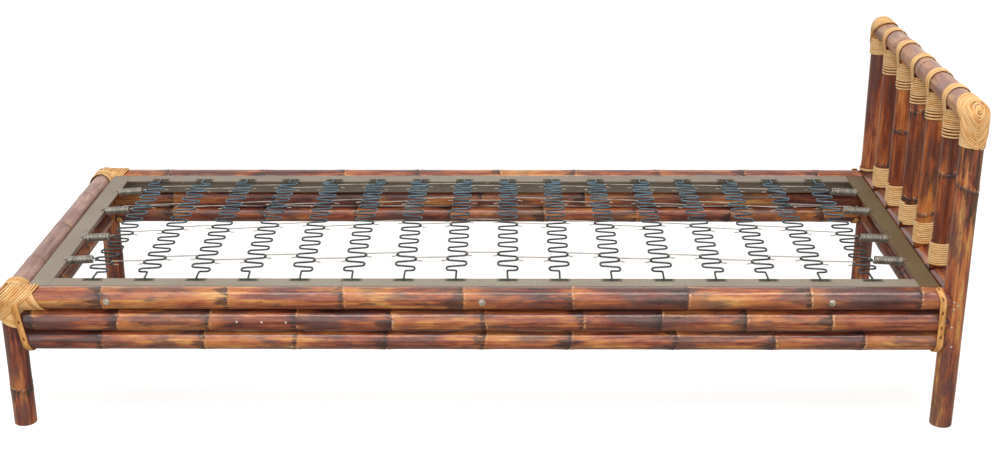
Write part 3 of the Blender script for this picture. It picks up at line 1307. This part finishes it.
def wire(path, radius, seed, sides=8):
    """A round wire along path, in mm, whose rings are carried along without twist."""
    run = unit(np.gradient(path, axis=0))
    side = unit(np.cross(run[0], Z_AXIS if abs(run[0][2]) < 0.9 else X_AXIS))
    angles = ring_angles(sides)
    points = []
    for place, way in zip(path, run):
        side = unit(side - way * (side @ way))
        points.append(place + radius * ring_ways(angles, side, np.cross(side, way)))
    grain = np.stack(np.broadcast_arrays((travelled(path) * MM + seed)[:, None],
                                         radius * MM * np.cos(angles),
                                         radius * MM * np.sin(angles)), -1)
    return make_part(np.array(points) * MM, tube_faces(len(path), sides), grain,
                     tone=random.Random(seed).random())


# %% Tempered wire
WIRE_RAMP = (0.32, 0.42, 0.68)


def steel_wire(name, colours, metallic, far=None):
    """colours go from rust to clear wire, far those that it turns to at the back of the bed."""
    material, add = new_material(name)
    grain = add("Attribute", attribute_name="grain")
    film = grain_noise(add, grain, 40.0, 300.0, Detail=4.0, Roughness=0.6)
    colour = add("ValToRGB", (film,), colour_ramp(WIRE_RAMP, colours))["Color"]
    if far:
        other = add("ValToRGB", (film,), colour_ramp(WIRE_RAMP, far))["Color"]
        across = add("SeparateXYZ", (add("TexCoord")["Object"],))["Y"]
        share = add("MapRange", span(across, -0.12, 0.22), interpolation_type="SMOOTHSTEP")
        colour = add("Mix", {0: share[0], 6: colour, 7: other}, data_type="RGBA")[2]
    rough = add("MapRange", span(film, 0.3, 0.7, 0.28, 0.5))
    finish_material(add, {"Base Color": colour, "Roughness": rough[0], "Metallic": metallic})
    return material


blued_wire = steel_wire("spring_steel_wire_tempered_blue", "#3c3430 #2f3538 #5b6165", 0.7,
                        far="#3c3430 #3f5867 #728c9b")
drawn_wire = steel_wire("mild_steel_wire_galvanised", "#7c6e5e #9c958b #c3bbae", 0.3)
coil_wire = steel_wire("spring_steel_wire_oiled", "#5c5249 #8a867d #c0bbb0", 0.8)
print("wires", blued_wire.name, drawn_wire.name, coil_wire.name)

# %% Zigzag springs
WIRE_RADIUS, ZIGZAG_WIDTH, TURNS, HALF_PITCH, END_FLAT = 2.2, 43.0, 26, 23.2, 16.5
LEAD_IN_Y, HOOK_DEPTH = 299.0, 9.0
BEND, LAST_BEND = 8.2, 4.2
REST_Z = FRAME_TOP + GAP + WIRE_RADIUS
CROWN, CROWN_FADE = 24.0, 1.2


def deck_z(n, y):
    """The deck is arched, most in the middle of the bed and not at all at its ends."""
    crown = CROWN * (1 - (abs(n - MIDDLE_ZIGZAG) / MIDDLE_ZIGZAG) ** CROWN_FADE)
    return REST_Z + crown * (1 - (y / HOOK_Y) ** 2)


def turn_y(turn):
    return (turn - (TURNS - 1) / 2) * HALF_PITCH


def zigzag_path(n):
    rng = random.Random(600 + n)

    def at(dx, y, z=None):
        return np.array([ZIGZAG_PLACES[n] + dx, y, deck_z(n, y) if z is None else z])

    points = [at(0, -HOOK_Y, FRAME_TOP - HOOK_DEPTH), at(0, -HOOK_Y, REST_Z),
              at(rng.uniform(-1.5, 1.5), -LEAD_IN_Y)]
    for turn in range(TURNS):
        reach = (-1) ** (n + turn) * (ZIGZAG_WIDTH / 2 + rng.uniform(-0.5, 0.3))
        flat = END_FLAT / 2 + rng.uniform(-0.6, 0.6)
        points += [at(reach, turn_y(turn) - flat), at(reach, turn_y(turn) + flat)]
    points += [at(rng.uniform(-1.5, 1.5), LEAD_IN_Y), at(0, HOOK_Y, REST_Z),
               at(0, HOOK_Y, FRAME_TOP - HOOK_DEPTH)]
    # The wire leaves its last turn by a sharper bend than the turns have
    radii = np.full(len(points), BEND)
    radii[[2, -3]] = LAST_BEND
    return rounded(points, radii)


# %% Coil springs at the two ends, close wound
COIL_TURNS = [3, 9, 17, 23]
COIL_RADIUS, COIL_WIRE, COIL_DROP, COIL_PITCH, COIL_STEPS = 8.0, 1.5, 4.0, 3.05, 14
# How far the coils begin and end from the spring's two hooks
COIL_START, COIL_END = 7.8, 8.0
# The zigzag that a coil reaches from each end, and the place of its hole in the end bar
COIL_HOLDS = {-1: (0, -933.8), 1: (ZIGZAGS - 1, 939.5)}


def coil_path(end, turn):
    n, hole_x = COIL_HOLDS[end]
    y = turn_y(turn)
    start = np.array([hole_x, y, FRAME_TOP + GAP + COIL_WIRE])
    over = np.array([ZIGZAG_PLACES[n] + end * ZIGZAG_WIDTH / 2, y,
                     deck_z(n, y) + WIRE_RADIUS + COIL_WIRE])
    under = over - Z_AXIS * 2 * (WIRE_RADIUS + COIL_WIRE)
    low_start = start - Z_AXIS * COIL_DROP
    axis = unit(over - start)
    first, last = COIL_START, np.linalg.norm(over - start) - COIL_END
    angles = np.arange(int((last - first) / COIL_PITCH) * COIL_STEPS + 1) * 2 * math.pi / COIL_STEPS
    coil = (low_start + np.outer(np.linspace(first, last, len(angles)), axis)
            + COIL_RADIUS * ring_ways(angles, np.cross(axis, Y_AXIS), Y_AXIS))
    head = [start - Z_AXIS * HOOK_DEPTH, start, start + axis * 4.0, coil[0]]
    tail = [coil[-1], low_start + axis * (last + 4.0), over + axis * 1.5,
            over - [end * 4.4, 0, 3.7], under - [end * 1.0, 0, 0], under + [end * 4.0, 0, -0.5]]
    return np.concatenate([rounded(head, 2.0, 4)[:-1], coil, rounded(tail, 2.0, 4)[1:]])


# %% Link wires, hooked over a turn at both ends
# The turns that are linked after an even and after an odd zigzag
LINK_TURNS = ([2, 10, 18, 24], [3, 11, 17, 23])
LINK_RADIUS = 1.15


def link_path(n, turn, seed):
    rng = random.Random(seed)
    y = turn_y(turn)
    ring = WIRE_RADIUS + LINK_RADIUS + 0.15

    def hook(zigzag, inward):
        """From over the turn, down inside it and back out beneath."""
        centre = np.array([ZIGZAG_PLACES[zigzag] + inward * ZIGZAG_WIDTH / 2, y, deck_z(zigzag, y)])
        loop = centre + ring * ring_ways(np.radians(np.linspace(80, 285, 10)), inward * X_AXIS, Z_AXIS)
        tail = rng.uniform(10, 14)
        return np.concatenate([loop, [centre + [inward * tail * 0.5, -1.5, -ring - 0.8],
                                      centre + [inward * tail, -3.5, -ring - 0.2]]])

    return np.concatenate([hook(n, 1)[::-1], hook(n + 1, -1)])


# %% Lay out the deck
link_count = 0
for n in range(ZIGZAGS):
    piece = wire(zigzag_path(n), WIRE_RADIUS, 600 + n)
    add_piece(f"zigzag_wire_{n + 1:02d}", [piece], blued_wire,
              [f"zigzag_spring_{n + 1:02d}"])
    if n < ZIGZAGS - 1:
        links = [wire(link_path(n, turn, 640 + 10 * n + turn), LINK_RADIUS, 650 + n, sides=6)
                 for turn in LINK_TURNS[n % 2]]
        link_count += len(links)
        add_piece(f"link_wires_{n + 1:02d}", links, drawn_wire)
for end_name, end in ENDS:
    for number, turn in enumerate(COIL_TURNS):
        piece = wire(coil_path(end, turn), COIL_WIRE, 700 + number, sides=6)
        add_piece(f"coil_spring_{end_name}_{number + 1}", [piece], coil_wire)
print(ZIGZAGS, "zigzags,", link_count, "links and", 2 * len(COIL_TURNS), "coils")

# %% [markdown]
# ## Nails
#
# Small round nails hold the poles to the uprights. Their heads have worn bright.

# %% Nail heads on the uprights and the side poles
NAIL_PROFILE = [(-0.6, 2.6), (0.3, 2.6), (0.8, 1.9), (1.1, 0.9), (1.15, 0.0)]
# Offset from the post's middle and height, then place along a pole, height and level
POST_NAILS = [(-7.0, 295.0), (2.0, 288.0), (-6.0, 279.0), (-7.0, 238.0), (-3.0, 193.0)]
POLE_NAILS = [(-518.0, 249.0, "middle"), (-465.0, 248.5, "middle"), (-414.0, 248.0, "middle"),
              (-187.0, 250.0, "middle"), (-405.0, 190.0, "bottom")]


def nail(x, z, way, offset, radius, side, sunk, seed):
    """A nail in a round pole whose axis passes through x and z, offset from it along way."""
    out = (way * offset + Y_AXIS * side * round_cut(radius, offset)) / radius
    base = np.array([x, side * HALF_WIDTH, z]) + out * (radius - sunk)
    return turned(NAIL_PROFILE, base, out, 12, seed)


for side_name, side in SIDES:
    nails = [nail(HALF_LENGTH, z, X_AXIS, offset, LEG_RADIUS, side, 1.1, z)
             for offset, z in POST_NAILS]
    nails += [nail(x, RAIL_HEIGHTS[level], Z_AXIS, z - RAIL_HEIGHTS[level], RAIL_RADII[level], side,
                   0.9, x) for x, z, level in POLE_NAILS]
    add_piece(f"nail_heads_{side_name}", nails, bare_steel, sharp=40)
print("nails", 2 * len(nails))

# %% Sizes, and the end of the scene
print(len(made_pieces), "pieces made")
